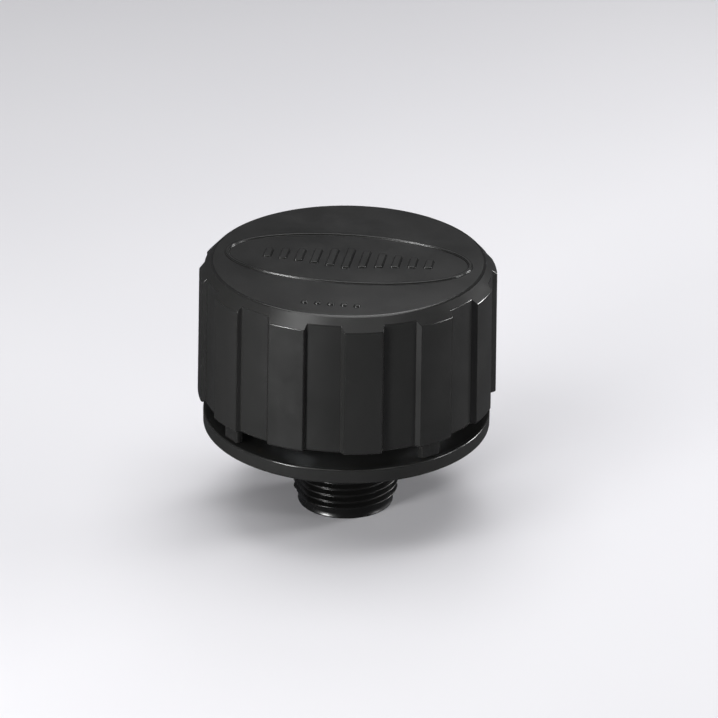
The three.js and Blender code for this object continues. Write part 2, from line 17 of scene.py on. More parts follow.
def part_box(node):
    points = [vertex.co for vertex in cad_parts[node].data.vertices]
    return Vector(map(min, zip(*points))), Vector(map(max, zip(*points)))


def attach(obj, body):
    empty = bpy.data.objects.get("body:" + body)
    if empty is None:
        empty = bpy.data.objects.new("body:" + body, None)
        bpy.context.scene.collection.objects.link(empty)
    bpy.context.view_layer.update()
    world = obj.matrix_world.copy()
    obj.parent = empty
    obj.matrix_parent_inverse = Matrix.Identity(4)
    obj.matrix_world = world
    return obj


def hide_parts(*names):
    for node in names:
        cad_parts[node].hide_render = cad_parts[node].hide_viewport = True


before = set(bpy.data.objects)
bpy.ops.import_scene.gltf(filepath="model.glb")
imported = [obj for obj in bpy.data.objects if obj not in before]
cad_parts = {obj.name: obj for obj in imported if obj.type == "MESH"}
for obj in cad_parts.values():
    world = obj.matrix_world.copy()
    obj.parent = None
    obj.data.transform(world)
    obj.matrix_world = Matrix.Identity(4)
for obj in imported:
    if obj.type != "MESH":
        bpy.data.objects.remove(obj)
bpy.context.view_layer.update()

MM = 0.001
FULL_TURN = 2 * math.pi


# ---------------- driving dimensions, in millimetres

# Camera
CAMERA_AZIMUTH = 8.5  # degrees to the right of -Y
CAMERA_ELEVATION = 25.316
CAMERA_ROLL = 0.831
CAMERA_DISTANCE = 1000
CAMERA_ASIDE = 2.959  # the aim, to the right of the axis
CAMERA_AIM = 38.646  # height of the aim
LENS = 201.5
SENSOR = 36

# Meshes
SUPPORT = 0.08  # flat strip beside a rounded edge, so that flats shade flat
ARC_STEPS = 4
CREASE = math.radians(50)  # edges sharper than this don't shade smooth
EDGE_TURN = math.cos(math.radians(4))  # a face whose normals turn further belongs to a rounded edge
FINE = 192  # columns of a large round
COARSE = 96  # columns of a small round
ROOTED = 0.4  # how far a rib or a foot reaches into the wall that it grows from

# Spigot, 3/4-14 NPT
SPIGOT_LENGTH = 22
PORT_RADIUS = 9
THREAD_RADIUS = 13.02  # crest at the small end
PIPE_RADIUS = 13.34
THREAD_PITCH = 25.4 / 14
THREAD_DEPTH = 1.35
THREAD_TAPER = 1 / 32  # radius per length
THREAD_START = 1.1
THREAD_RUNOUT = 2.6
THREAD_ROOT = 0.43  # half the ridge's width at its root, as a share of the pitch
THREAD_CREST = 0.08
THREAD_SOFTENING = 0.05  # of the ridge's corners
THREAD_FADE = 0.5  # height over which the ridge runs in and out
THREAD_FADED = 0.3  # share of that fade that is over where the thread starts or ends
THREAD_NECK = 1  # how far the thread's mesh reaches up into the plain run-out
# Places of the mesh's rows across one ridge, as shares of the pitch
THREAD_ROWS = (
    *(-0.5, -0.47, -0.43, -0.39, -0.25, -0.12, -0.08, -0.04),
    *(0.04, 0.08, 0.12, 0.25, 0.39, 0.43, 0.47),
)
SPIGOT_END_RADIUS = 12.12
FLAT_DISTANCE = 12.12  # parting flats, from the axis
FLAT_ANGLE = 210
FLAT_TOP = 20.3
NECK_SHELF = 1.5  # flat round the neck that belongs to the spigot

# Base flange
FLANGE_RADIUS = 35.85
FLANGE_TOP = 25.7
LAND_RADIUS = 26.1
CAGE_SEAT_RADIUS = 13.1
POCKET_INNER = 17.1
POCKET_OUTER = 32.45
POCKET_DEPTH = 1.6
POCKETS = 8
POCKET_RIB = 2.2
POCKET_CORNER = 0.8
POCKET_DRAFT = 0.05

# Cage and quick thread
CAGE_INNER = 9.4
CAGE_OUTER = 11.6
CAGE_FOOT = 12.8
CAGE_RIBS = 6
CAGE_RIB_ANGLE = 24
HOLE_RADIUS = 2.2  # round the post's screw
POST_CORE = 5.2
POST_CREST = 6.4
POST_COLLAR = 0.9
POST_CHAMFER = 0.45
POST_LIP = 1.6  # flat rim at the post's top
POST_DISH = 2.2  # from the post's wall to the floor of the dish inside the rim
POST_DISH_DEPTH = 0.6
POST_HOLE_END = 0.3  # beyond the screw
QUICK_LEAD = 8
QUICK_STARTS = 2
QUICK_ROOT = 1  # half the ridge's width at its root
QUICK_CREST = 0.6
QUICK_MARGIN = 1.2  # from a thread's end to the middle of its first ridge
QUICK_SOFTENING = 0.1
QUICK_FADE = 1.6
QUICK_FADED = 0.2
QUICK_ROWS = (
    *(-0.5, -0.38, -0.28, -0.25, -0.22, -0.18, -0.15, -0.12, 0),
    *(0.12, 0.15, 0.18, 0.22, 0.25, 0.28, 0.38),
)
BUSH_INNER = 6.7
BUSH_OUTER = 8.4
BUSH_CREST = 5.5
BUSH_BAND = 0.5  # plain band at each end
BUSH_CHAMFER = 0.4
BUSH_KEYS = 12
KEY_DEPTH = 0.22
WASHER_RADIUS = 5.2
SCREW_RADIUS = 1.9
SCREW_PITCH = 0.7
SCREW_ROOT = 0.42  # half the ridge's width at its root, as a share of the pitch
SCREW_CREST = 0.06
SCREW_SOFTENING = 0.02
SCREW_THREAD_DEPTH = 0.3
SCREW_THREAD_START = 24.6  # above the cage's foot
SCREW_FADE_IN = 0.5
SCREW_FADE_OUT = 0.4
SCREW_THREAD_END = 0.8  # below the screw's tip
SCREW_PLAIN = 0.5  # plain length at the head and at the tip
SCREW_ROWS = (-0.5, -0.4, -0.24, -0.08, -0.03, 0.03, 0.08, 0.24, 0.4)
SCREW_HEAD = 4
SCREW_HEAD_FLAT = 0.9  # from the head's side to its flat
SCREW_HEAD_CROWN = 0.6  # depth of the domed part
SCREW_HEAD_SIDE = 1.5  # depth at which the side turns upright
SCREW_SOCKET = 1.75
SCREW_SOCKET_DEPTH = 1.4

# Cap
CAP_RADIUS = 37.2  # pads at the skirt's foot
CAP_DRAFT = 0.5
CAP_TOP = 65.8  # flat of the top, under the emblem
CEILING = 63
CHAMFER_RUN = 3
CHAMFER_DROP = 3.2
SKIRT_FOOT = 30.4
SKIRT_INNER = 33.5
PADS = 12
PAD_PHASE = 15
PAD_HEIGHT = 1.2
PAD_CREST = 9.4
PAD_SIDE_RUN = 0.95  # clockwise side
PAD_STEEP_RUN = 0.45  # anticlockwise side
PAD_ROUNDING = 0.2
PAD_STEP = 0.9  # longest face round the cap
CAP_ROUNDING = 0.45
DISC_ROUNDING = 0.9
GROOVE_RADIUS = 34.2
GROOVE_BOTTOM = 32.3
GROOVE_TOP = 33.8
BOSS_RADIUS = 10.7
BUSH_SEAT_RADIUS = 8.7
CLAMP_INNER = 18.05
CLAMP_OUTER = 20.25
CLAMP_FOOT = 57.1
STIFFENERS = 6
STIFFENER_WIDTH = 1.6
STIFFENER_DROP = 3
FEET = 4
FOOT_PHASE = 45
FOOT_INNER = 33.1
FOOT_OUTER = 35.1
FOOT_WIDTH = 5.4
FOOT_ROUNDING = 0.4

# Emblem
OVAL_HALF_LENGTH = 30.7
OVAL_HALF_WIDTH = 14.8
OVAL_RIM = 1
WAVE_BARS = 11
WAVE_PITCH = 4
WAVE_TALLEST = 11.6
WAVE_DECAY = 0.17
WAVE_BAR = 1.9
BAR_ROUNDING = 0.35
PIPS = 5
PIP_PITCH = 3.2
PIP_RADIUS = 0.75
PIP_ROW = -27.3
EMBLEM_FILLET = 0.12
EMBLEM_ROUNDING = 0.13
EMBLEM_DRAFT = 0.06
EMBLEM_REACH = 0.34  # flat that belongs to a feature, outside its foot and inside its top edge

# Element
END_CAP_INNER = 12.2
END_CAP_OUTER = 26.1
END_CAP_SHEET = 0.8
END_CAP_CORNER = 1
POTTING_GAP = 0.3  # between the potting and the end cap
CORE_INNER = 12.7
CORE_OUTER = 13.3
GUARD_INNER = 24.4
GUARD_OUTER = 25
TUBE_BAR = 2
TUBE_ROWS = 2
TUBE_COLUMNS = 12
BAR_STEPS = 3  # faces across a bar
WINDOW_STEPS = 11
PUNCHED_EDGE = 0.1
PLEATS = 32
PAPER = 0.5
PAPER_ROWS = 23
PAPER_RIPPLE = 0.05
RIPPLE_RATE = 1.7  # radians per millimetre of height
FOLD_FLAT = 0.3  # half the flat at a fold
FOLD_ROUNDING = 0.2
MEDIA_INNER = 13.65
MEDIA_OUTER = 24.05
CLIPPED_TIP = 23.2
CLIP_SHEET = 0.45
CLIPPED_FOLD = 1.1  # half the fold's width, in thicknesses of the paper
CLIP_SLACK = 0.4
SEAL_INNER = 14.6
SEAL_OUTER = 23.7
SEAL_GROOVE_INSET = 3
SEAL_GROOVE_DEPTH = 0.3
SEAL_GROOVE_MOUTH = 0.9  # half widths
SEAL_GROOVE_FLOOR = 0.5
SLIP_INNER = 16.15
SLIP_OUTER = 22.15

# Foam and its ring
LINER_INNER = 30.7
LINER_OUTER = 33.2
TOP_PAD_INNER = 20.55
TOP_PAD_OUTER = 31.7
FOAM_ROUGHNESS = 0.14  # how far the cut surface wanders
FOAM_WANDER = 1.1  # waves of that per millimetre
FOAM_ROUNDING = 0.7
FOAM_STEP = 0.7  # longest face across
FOAM_COLUMNS = 300
FOAM_CUT = 0.15  # half the gap where the ends meet
RETAINER_INNER = 32.1
RETAINER_OUTER = 33.9
RETAINER_GAP_ANGLE = 16

# Studio, in metres
FLOOR_HALF = 4
LAMP_AIM = 0.03  # height at which the lamps point


# ---------------- heights of the CAD nodes


def low(node):
    """Height of a CAD node's lowest point."""
    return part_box(node)[0].z / MM


def high(node):
    """Height of a CAD node's highest point."""
    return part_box(node)[1].z / MM


# ---------------- camera


def camera():
    azimuth = math.radians(CAMERA_AZIMUTH)
    elevation = math.radians(CAMERA_ELEVATION)
    roll = math.radians(CAMERA_ROLL)
    across = Vector((math.cos(azimuth), math.sin(azimuth), 0))
    back = Vector((math.sin(azimuth), -math.cos(azimuth), 0)) * math.cos(elevation)
    back.z = math.sin(elevation)
    up = back.cross(across)
    right = across * math.cos(roll) + up * math.sin(roll)
    top = up * math.cos(roll) - across * math.sin(roll)
    aim = across * CAMERA_ASIDE + Vector((0, 0, CAMERA_AIM))
    place = (aim + back * CAMERA_DISTANCE) * MM
    data = bpy.data.cameras.new("camera")
    data.lens = LENS
    data.sensor_width = SENSOR
    made = bpy.data.objects.new("camera", data)
    made.matrix_world = Matrix.Translation(place) @ Matrix((right, top, back)).transposed().to_4x4()
    bpy.context.scene.collection.objects.link(made)
    bpy.context.scene.camera = made


camera()


# ---------------- outlines


def rounded(corners, steps=ARC_STEPS):
    """An open outline through (x, y, rounding) corners, with an arc and two flat strips at each rounding."""
    points = []
    last = len(corners) - 1
    for i, (x, y, rounding) in enumerate(corners):
        here = np.array([x, y], float)
        if rounding == 0 or i in (0, last):
            points.append(here)
            continue
        u = np.array(corners[i - 1][:2]) - here
        v = np.array(corners[i + 1][:2]) - here
        u /= np.linalg.norm(u)
        v /= np.linalg.norm(v)
        sweep = math.pi - math.acos(float(np.clip(u @ v, -1, 1)))
        reach = rounding * math.tan(sweep / 2)
        centre = here + (u + v) / np.linalg.norm(u + v) * rounding / math.cos(sweep / 2)
        start = here + u * reach
        end = here + v * reach
        points.append(start + u * SUPPORT)
        for k in range(steps + 1):
            a = math.sin((1 - k / steps) * sweep) / math.sin(sweep)
            b = math.sin(k / steps * sweep) / math.sin(sweep)
            points.append(centre + (start - centre) * a + (end - centre) * b)
        points.append(end + v * SUPPORT)
    return np.array(points)


def closed(corners, steps=ARC_STEPS):
    """The same for an outline that closes on itself."""
    return rounded([corners[-1], *corners, corners[0]], steps)[1:-1]


def section(inner, outer, bottom, top, rounding):
    """Corners of a ring's section, anticlockwise with the radius to the right."""
    return [
        (inner, bottom, rounding),
        (outer, bottom, rounding),
        (outer, top, rounding),
        (inner, top, rounding),
    ]


def box_outline(half_x, half_y, rounding):
    """A rounded rectangle about the origin, as a function of how far it is grown."""

    def grown(by):
        r = max(rounding + by, 0.01)
        quarter = np.linspace(0, FULL_TURN / 4, ARC_STEPS + 1)
        loop = []
        for k, (sx, sy) in enumerate([(1, 1), (-1, 1), (-1, -1), (1, -1)]):
            angle = quarter + k * FULL_TURN / 4
            x = sx * (half_x - rounding) + r * np.cos(angle)
            y = sy * (half_y - rounding) + r * np.sin(angle)
            loop.append(np.stack([x, y], -1))
        return np.concatenate(loop)

    return grown


def circle_outline(radius, count=16):
    angles = even(count)
    return lambda by: (radius + by) * np.stack([np.cos(angles), np.sin(angles)], -1)


def ellipse_outline(half_length, half_width, count=FINE):
    angles = even(count)
    points = np.stack([half_length * np.cos(angles), half_width * np.sin(angles)], -1)
    normals = np.stack([half_width * np.cos(angles), half_length * np.sin(angles)], -1)
    normals /= np.linalg.norm(normals, axis=-1, keepdims=True)
    return lambda by: points + normals * by


def shifted(outline, x, y):
    return lambda by: outline(by) + np.array([x, y])


def swung(outline, angle):
    turn = np.array([[math.cos(angle), math.sin(angle)], [-math.sin(angle), math.cos(angle)]])
    return lambda by: outline(by) @ turn


def plan_outline(corners, steps=ARC_STEPS):
    """Any closed anticlockwise outline of (x, y, rounding) corners, as a function of its growth."""
    points = closed(corners, steps)
    along = np.roll(points, -1, 0) - np.roll(points, 1, 0)
    normals = np.stack([along[:, 1], -along[:, 0]], -1)
    normals /= np.linalg.norm(normals, axis=-1, keepdims=True)
    return lambda by: points + normals * by


def sector_outline(inner, outer, half_inner, half_outer, rounding, steps):
    """Part of a ring about +X, with half angles for its inner and outer corners."""
    corners = []
    for radius, half, sign in ((outer, half_outer, 1), (inner, half_inner, -1)):
        for k in range(steps + 1):
            angle = sign * half * (2 * k / steps - 1)
            edge = rounding if k in (0, steps) else 0
            corners.append((radius * math.cos(angle), radius * math.sin(angle), edge))
    return plan_outline(corners)


def even(count):
    return np.arange(count) * FULL_TURN / count


def smooth(x):
    x = np.clip(x, 0, 1)
    return x * x * (3 - 2 * x)


# ---------------- shells


class Shell:
    """A mesh of rings of points, bands between rings, and flat plates bounded by rings."""

    def __init__(self):
        self.points = []
        self.faces = []

    def add(self, points):
        first = len(self.points)
        self.points.extend(tuple(map(float, point)) for point in points)
        return list(range(first, len(self.points)))

    def ring(self, angles, radius, height):
        radius = np.broadcast_to(radius, angles.shape)
        height = np.broadcast_to(height, angles.shape)
        return self.add(np.stack([radius * np.cos(angles), radius * np.sin(angles), height], -1))

    def band(self, a, b):
        """Quads from ring a to ring b, which lies above it on an outside wall."""
        for i in range(len(a)):
            j = (i + 1) % len(a)
            self.faces.append((a[i], a[j], b[j], b[i]))

    def bands(self, rings):
        for a, b in zip(rings, rings[1:]):
            self.band(a, b)
        return rings

    def revolve(self, angles, outline):
        return self.bands([self.ring(angles, r, z) for r, z in outline])

    def wall(self, angles, *corners):
        """A revolved wall through (radius, height, rounding) corners."""
        return self.revolve(angles, rounded(corners))

    def rise(self, outline, profile):
        """Rings that follow a flat outline, grown and raised by each (growth, height) of the profile."""
        rings = []
        for by, z in profile:
            loop = outline(by)
            rings.append(self.add(np.column_stack([loop, np.full(len(loop), z)])))
        return self.bands(rings)

    def plate(self, outer, holes=(), up=True):
        """Level triangles between an outer ring and its holes."""
        loops = [outer, *holes]
        index = [i for loop in loops for i in loop]
        flat = [[Vector((*self.points[i][:2], 0)) for i in loop] for loop in loops]
        for a, b, c in tessellate_polygon(flat):
            (ax, ay), (bx, by), (cx, cy) = (self.points[index[k]][:2] for k in (a, b, c))
            if ((bx - ax) * (cy - ay) - (by - ay) * (cx - ax) > 0) != up:
                b, c = c, b
            self.faces.append((index[a], index[b], index[c]))

    def block(self, outline, bottom, top, rounding):
        """A closed block with rounded edges."""
        rim = SUPPORT + rounding + 0.01
        profile = rounded([(-rim, bottom, 0), (0, bottom, rounding), (0, top, rounding), (-rim, top, 0)])
        rings = self.rise(outline, profile[1:-1])
        self.plate(rings[0], up=False)
        self.plate(rings[-1])

    def helix(self, count, bottom, top, lead, starts, first, phase, shares, radius_at, inside=False):
        """A threaded wall. Its rows follow the ridges, and what lies past either end is drawn in to it.

        first and phase are the height and angle of a ridge's middle, shares are the places of the rows
        across one ridge, and radius_at takes height, distance from the ridge's middle, the height of
        that middle, and angle.
        """
        spacing = lead / starts
        angles = even(count)
        lowest = first - lead * phase / FULL_TURN
        lowest -= math.ceil((lowest - bottom + lead + spacing) / spacing) * spacing
        turns = math.ceil((top - lowest + spacing) / spacing)
        rows = []
        for k in range(turns):
            for share in shares:
                middle = lowest + k * spacing + lead * angles / FULL_TURN
                height = middle + share * spacing
                inner = np.clip(height, bottom, top)
                away = np.where(inner == height, np.abs(share) * spacing, spacing / 2)
                rows.append(self.ring(angles, radius_at(inner, away, middle, angles), inner))
        shift = starts * len(shares)
        for k in range(len(rows) - 1):
            for i in range(count):
                j = (i + 1) % count
                step = shift if j == 0 else 0
                after = rows[min(k + step, len(rows) - 1)][j]
                above = rows[min(k + step + 1, len(rows) - 1)][j]
                face = (rows[k][i], after, above, rows[k + 1][i])
                self.faces.append(face[::-1] if inside else face)

    def sweep(self, angles, outline):
        """A closed section of (radius, height) points carried round from the first angle to the last."""
        rings = []
        for angle in angles:
            r, z = outline.T
            rings.append(self.add(np.stack([r * math.cos(angle), r * math.sin(angle), z], -1)))
        self.bands(rings[::-1])
        self.faces.append(tuple(rings[0]))
        self.faces.append(tuple(rings[-1][::-1]))

    def turned(self, columns, corners):
        """A closed ring with the section given by its corners."""
        rings = self.revolve(even(columns), closed(corners))
        self.band(rings[-1], rings[0])

    def piece(self, name, finish, body, node):
        """The finished object, which rides on its body in place of its CAD node."""
        mesh = bpy.data.meshes.new(name)
        mesh.from_pydata((np.array(self.points) * MM).tolist(), [], self.faces)
        weld(mesh)
        mesh.polygons.foreach_set("use_smooth", [True] * len(mesh.polygons))
        mesh.set_sharp_from_angle(angle=CREASE)
        mesh.materials.append(finish)
        made = bpy.data.objects.new(name, mesh)
        bpy.context.scene.collection.objects.link(made)
        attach(made, body)
        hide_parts(node)
        return made


def weld(mesh):
    """Joins points that lie together and drops the faces that this flattens."""
    work = bmesh.new()
    work.from_mesh(mesh)
    bmesh.ops.remove_doubles(work, verts=work.verts, dist=2e-6)
    bmesh.ops.dissolve_degenerate(work, edges=work.edges, dist=1e-7)
    work.to_mesh(mesh)
    work.free()


def polish_edges(made):
    """Gives the rounded edges, where the normals turn within one face, a smoother finish."""
    mesh = made.data
    mesh.materials.append(EDGE_NYLON)
    normals = np.empty(len(mesh.vertices) * 3)
    mesh.vertices.foreach_get("normal", normals)
    normals = normals.reshape(-1, 3)
    for face in mesh.polygons:
        turned_by = (normals[face.vertices[0]] * normals[face.vertices[2]]).sum()
        if len(face.vertices) == 4 and turned_by < EDGE_TURN:
            face.material_index = len(mesh.materials) - 1


# ---------------- materials


class Finish:
    """A procedural material in the making. Texture scales are per metre."""

    def __init__(self, name):
        self.material = bpy.data.materials.new(name)
        self.material.use_nodes = True
        self.tree = self.material.node_tree
        self.shader = self.tree.nodes["Principled BSDF"]
        self.normal = None

    def node(self, kind, **values):
        made = self.tree.nodes.new("ShaderNode" + kind)
        for name, value in values.items():
            made.inputs[name].default_value = value
        return made

    def link(self, output, target):
        self.tree.links.new(output, target)

    def place(self, target, stretch):
        source = self.node("TexCoord").outputs["Object"]
        if stretch:
            mapping = self.node("Mapping", Scale=stretch)
            self.link(source, mapping.inputs["Vector"])
            source = mapping.outputs["Vector"]
        self.link(source, target.inputs["Vector"])

    def noise(self, scale, detail=3, roughness=0.5, stretch=None):
        made = self.node("TexNoise", Scale=scale, Detail=detail, Roughness=roughness)
        self.place(made, stretch)
        return made.outputs["Fac"]

    def cells(self, scale, output="Distance", feature="F1"):
        made = self.node("TexVoronoi", Scale=scale)
        made.feature = feature
        self.place(made, None)
        return made.outputs[output]

    def spread(self, value, low, high, start, end):
        """A value between start and end, mapped to low and high."""
        made = self.node("MapRange")
        for name, number in zip(("From Min", "From Max", "To Min", "To Max"), (start, end, low, high)):
            made.inputs[name].default_value = number
        self.link(value, made.inputs["Value"])
        return made.outputs["Result"]

    def tint(self, value, first, second, start=0.3, end=0.7):
        """Base colour that goes from the first to the second as the value goes from start to end."""
        made = self.node("Mix")
        made.data_type = "RGBA"
        self.link(self.spread(value, 0, 1, start, end), made.inputs[0])
        made.inputs[6].default_value = (*first, 1)
        made.inputs[7].default_value = (*second, 1)
        self.link(made.outputs[2], self.shader.inputs["Base Color"])

    def gloss(self, value, low, high, start=0.3, end=0.7):
        """Roughness that varies with the value."""
        self.link(self.spread(value, low, high, start, end), self.shader.inputs["Roughness"])

    def bump(self, value, strength, depth):
        """Relief of the given depth in millimetres, on top of any added before."""
        made = self.node("Bump", Strength=strength, Distance=depth * MM)
        self.link(value, made.inputs["Height"])
        if self.normal:
            self.link(self.normal, made.inputs["Normal"])
        self.normal = made.outputs["Normal"]
        self.link(self.normal, self.shader.inputs["Normal"])


def moulded_nylon(name, shade, gloss, grain):
    """Black glass-filled nylon: satin, with a fine moulded grain and faint marks of the flow."""
    finish = Finish(name)
    flow = finish.noise(55, 4, 0.6, (1, 1, 0.35))
    finish.tint(flow, [shade * c for c in (0.86, 0.88, 0.84)], [shade * c for c in (1.16, 1.16, 1.12)])
    finish.gloss(finish.noise(110, 5, 0.65), gloss - 0.04, gloss + 0.05)
    finish.bump(finish.noise(3800, 2), grain, 0.05)
    finish.bump(finish.noise(150, 2), 0.1, 0.15)
    return finish.material


def acetal():
    finish = Finish("acetal_white")
    finish.tint(finish.noise(90, 4), (0.72, 0.7, 0.62), (0.84, 0.82, 0.76))
    finish.gloss(finish.noise(260, 4), 0.28, 0.45)
    finish.bump(finish.noise(1800, 2), 0.15, 0.06)
    finish.shader.inputs["Subsurface Weight"].default_value = 0.1
    finish.shader.inputs["Subsurface Radius"].default_value = (MM, MM, MM)
    return finish.material


def zinc_plate():
    finish = Finish("zinc_plate")
    finish.tint(finish.noise(300, 4), (0.42, 0.43, 0.45), (0.62, 0.63, 0.65))
    finish.shader.inputs["Metallic"].default_value = 1
    finish.gloss(finish.noise(700, 4), 0.22, 0.4)
    finish.bump(finish.noise(2400, 3), 0.2, 0.04)
    return finish.material


def galvanised():
    """Zinc-coated sheet, whose crystals differ in tone and gloss."""
    finish = Finish("galvanised_sheet")
    crystals = finish.cells(420, "Color")
    finish.tint(crystals, (0.34, 0.36, 0.38), (0.56, 0.58, 0.6), 0.1, 0.9)
    finish.shader.inputs["Metallic"].default_value = 1
    finish.gloss(crystals, 0.3, 0.5, 0, 1)
    finish.bump(finish.cells(420), 0.12, 0.08)
    return finish.material


def nitrile():
    finish = Finish("nitrile_rubber")
    finish.tint(finish.noise(200, 5, 0.7), (0.012, 0.012, 0.013), (0.03, 0.03, 0.031))
    finish.gloss(finish.noise(500, 4), 0.6, 0.85)
    finish.bump(finish.noise(2600, 3), 0.3, 0.08)
    return finish.material


def cast_urethane():
    """Green potting, with the slow ripples of a cast surface."""
    finish = Finish("cast_urethane")
    finish.tint(finish.noise(120, 3), (0.035, 0.13, 0.08), (0.07, 0.23, 0.15))
    finish.gloss(finish.noise(400, 3), 0.3, 0.5)
    finish.bump(finish.noise(350, 3), 0.35, 0.2)
    return finish.material


def filter_paper():
    """Resin-treated paper with its fibres."""
    finish = Finish("filter_paper")
    fibre = finish.noise(1500, 5, 0.75, (1, 1, 3))
    finish.tint(fibre, (0.52, 0.42, 0.24), (0.76, 0.66, 0.45))
    finish.gloss(finish.noise(300, 3), 0.82, 0.95)
    finish.bump(fibre, 0.5, 0.12)
    return finish.material


def open_foam():
    """Charcoal polyester foam: lighter struts round the cells, whose darker middles are painted shade in the
    pores.
    """
    finish = Finish("open_cell_foam")
    pore_relief_and_shade = finish.cells(1500, feature="SMOOTH_F1")
    # painted shade: each cell is darker towards its middle, where the pore is deepest
    finish.tint(pore_relief_and_shade, (0.008, 0.008, 0.009), (0.06, 0.062, 0.068), 0.1, 0.6)
    finish.gloss(finish.noise(600, 3), 0.85, 1)
    finish.bump(pore_relief_and_shade, 0.8, 0.3)
    return finish.material


def studio_floor():
    finish = Finish("studio_floor")
    finish.tint(finish.noise(4, 2), (0.775, 0.77, 0.8), (0.805, 0.8, 0.825))
    finish.gloss(finish.noise(9, 2), 0.75, 0.9)
    return finish.material


NYLON = moulded_nylon("satin_nylon", 0.0165, 0.32, 0.2)
EDGE_NYLON = moulded_nylon("edge_nylon", 0.0165, 0.2, 0.08)
# Darker copy of the nylon for the spigot: its low base colour is painted shade under the flange, its
# slightly lower roughness the real gloss
SHADED_GLOSS_NYLON = moulded_nylon("gloss_nylon_painted_shade", 0.005, 0.28, 0.1)
ACETAL = acetal()
STEEL = zinc_plate()
SHEET = galvanised()
RUBBER = nitrile()
POTTING = cast_urethane()
PAPER_FINISH = filter_paper()
FOAM = open_foam()


# ---------------- cap


def pad_side(run):
    """Distance round the cap and height, from a pad's middle to halfway to the next pad."""
    half = PAD_CREST / 2
    gap = math.pi * CAP_RADIUS / PADS
    side = rounded(
        [
            (0, PAD_HEIGHT, 0),
            (half, PAD_HEIGHT, PAD_ROUNDING),
            (half + run, 0, PAD_ROUNDING),
            (gap, 0, 0),
        ]
    )
    filled = [side[0]]
    for a, b in zip(side, side[1:]):
        parts = max(1, round(abs(b[0] - a[0]) / PAD_STEP))
        filled += [a + (b - a) * k / parts for k in range(1, parts + 1)]
    return np.array(filled)


def pad_columns():
    """Angles of the cap's columns, and at each the share of a pad's full height."""
    clockwise = pad_side(PAD_SIDE_RUN) * (-1, 1)
    sector = np.concatenate([clockwise[::-1], pad_side(PAD_STEEP_RUN)[1:-1]])
    middles = math.radians(PAD_PHASE) + even(PADS)
    angles = middles[:, None] + sector[:, 0] / CAP_RADIUS
    return angles.ravel(), np.tile(sector[:, 1] / PAD_HEIGHT, PADS)


def cap_outline(pad):
    """Section of the cap from the bush's seat, along the inside and round to the top, at one column."""
    disc = CAP_RADIUS - CAP_DRAFT - CHAMFER_RUN
    foot = CAP_RADIUS - PAD_HEIGHT * (1 - pad)
    shoulder = foot - CAP_DRAFT
    shoulder_height = CAP_TOP - (shoulder - disc) * CHAMFER_DROP / CHAMFER_RUN
    seat = high("thread_bush")
    boss_foot = low("thread_bush")
    return rounded(
        [
            (BUSH_SEAT_RADIUS - 1, seat, 0),
            (BUSH_SEAT_RADIUS, seat, 0.2),
            (BUSH_SEAT_RADIUS, boss_foot, 0.3),
            (BOSS_RADIUS, boss_foot, 0.3),
            (BOSS_RADIUS, CEILING, 0.5),
            (CLAMP_INNER, CEILING, 0.5),
            (CLAMP_INNER, CLAMP_FOOT, 0.3),
            (CLAMP_OUTER, CLAMP_FOOT, 0.3),
            (CLAMP_OUTER, CEILING, 0.2),
            (SKIRT_INNER - CHAMFER_RUN / 2, CEILING, 0.3),
            (SKIRT_INNER, CEILING - CHAMFER_DROP / 2, 0.3),
            (SKIRT_INNER, GROOVE_TOP, 0.08),
            (GROOVE_RADIUS, GROOVE_TOP, 0.08),
            (GROOVE_RADIUS, GROOVE_BOTTOM, 0.15),
            (SKIRT_INNER, GROOVE_BOTTOM, 0.15),
            (SKIRT_INNER, SKIRT_FOOT, 0.35),
            (foot, SKIRT_FOOT, CAP_ROUNDING),
            (shoulder, shoulder_height, CAP_ROUNDING),
            (disc, CAP_TOP, DISC_ROUNDING),
            (disc - 1, CAP_TOP, 0),
        ]
    )


def emblem_wall():
    """Growth and height up the side of a raised feature, from the flat round it to its own top."""
    top = high("cap_shell")
    return rounded(
        [
            (EMBLEM_REACH, CAP_TOP, 0),
            (0, CAP_TOP, EMBLEM_FILLET),
            (-EMBLEM_DRAFT, top, EMBLEM_ROUNDING),
            (-EMBLEM_REACH, top, 0),
        ]
    )


def emblem(shell, disc_ring):
    """Bars that die away to both sides inside an oval rim, and a row of pips, on the flat of the top."""
    wall = emblem_wall()
    outside = shell.rise(ellipse_outline(OVAL_HALF_LENGTH, OVAL_HALF_WIDTH), wall)
    inner = ellipse_outline(OVAL_HALF_LENGTH - OVAL_RIM, OVAL_HALF_WIDTH - OVAL_RIM)
    inside = shell.rise(inner, wall[::-1] * (-1, 1))
    shell.band(outside[-1], inside[0])
    bars = []
    for i in range(WAVE_BARS):
        from_middle = i - (WAVE_BARS - 1) / 2
        half = WAVE_TALLEST / 2 * math.exp(-WAVE_DECAY * abs(from_middle))
        bar = shifted(box_outline(WAVE_BAR / 2, half, BAR_ROUNDING), from_middle * WAVE_PITCH, 0)
        bars.append(shell.rise(bar, wall))
    pips = []
    for i in range(PIPS):
        pip = shifted(circle_outline(PIP_RADIUS), (i - (PIPS - 1) / 2) * PIP_PITCH, PIP_ROW)
        pips.append(shell.rise(pip, wall))
    for rings in bars + pips:
        shell.plate(rings[-1])
    shell.plate(disc_ring, [outside[0], *(rings[0] for rings in pips)])
    shell.plate(inside[-1], [rings[0] for rings in bars])


